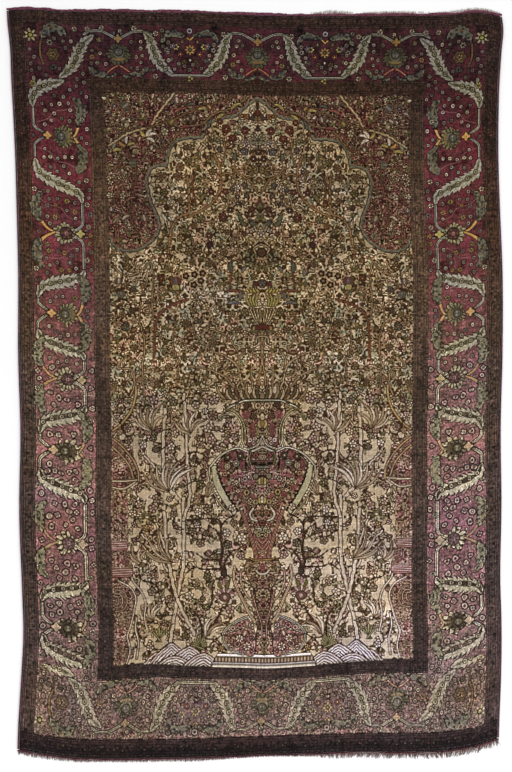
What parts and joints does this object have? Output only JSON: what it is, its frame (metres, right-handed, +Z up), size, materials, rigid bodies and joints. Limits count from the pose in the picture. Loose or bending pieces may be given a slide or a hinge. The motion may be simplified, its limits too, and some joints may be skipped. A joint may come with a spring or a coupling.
{
  "type": "persian rug",
  "caption": "Rectangular hand-knotted silk prayer rug lying flat, with a niche-and-vase design, floral borders, overcast sides and fringed ends.",
  "frame": {"origin": "centre of the rug's box on the floor, under the middle of the rug", "axes": "+Y along the rug towards the top of the niche, +X across to the right seen from above, +Z up through the pile"},
  "size_m": [1.3422, 2.0428, 0.0056],
  "materials": {
    "knotted_pile": "clipped silk pile, knotted flowers in plum, ivory, green and dark brown, faded and worn towards the lower end",
    "overcast_silk": "wrapped purple-brown silk, slightly glossy",
    "top_end_weave": "flat-woven magenta band with frayed warp ends",
    "bottom_end_weave": "flat-woven dark red band with frayed dusty pink and brown warp ends"
  },
  "bodies": {
    "root": {"knotted_rug": "knotted_pile", "left_selvedge": "overcast_silk", "right_selvedge": "overcast_silk", "top_fringe": "top_end_weave", "bottom_fringe": "bottom_end_weave"}
  },
  "joints": []
}
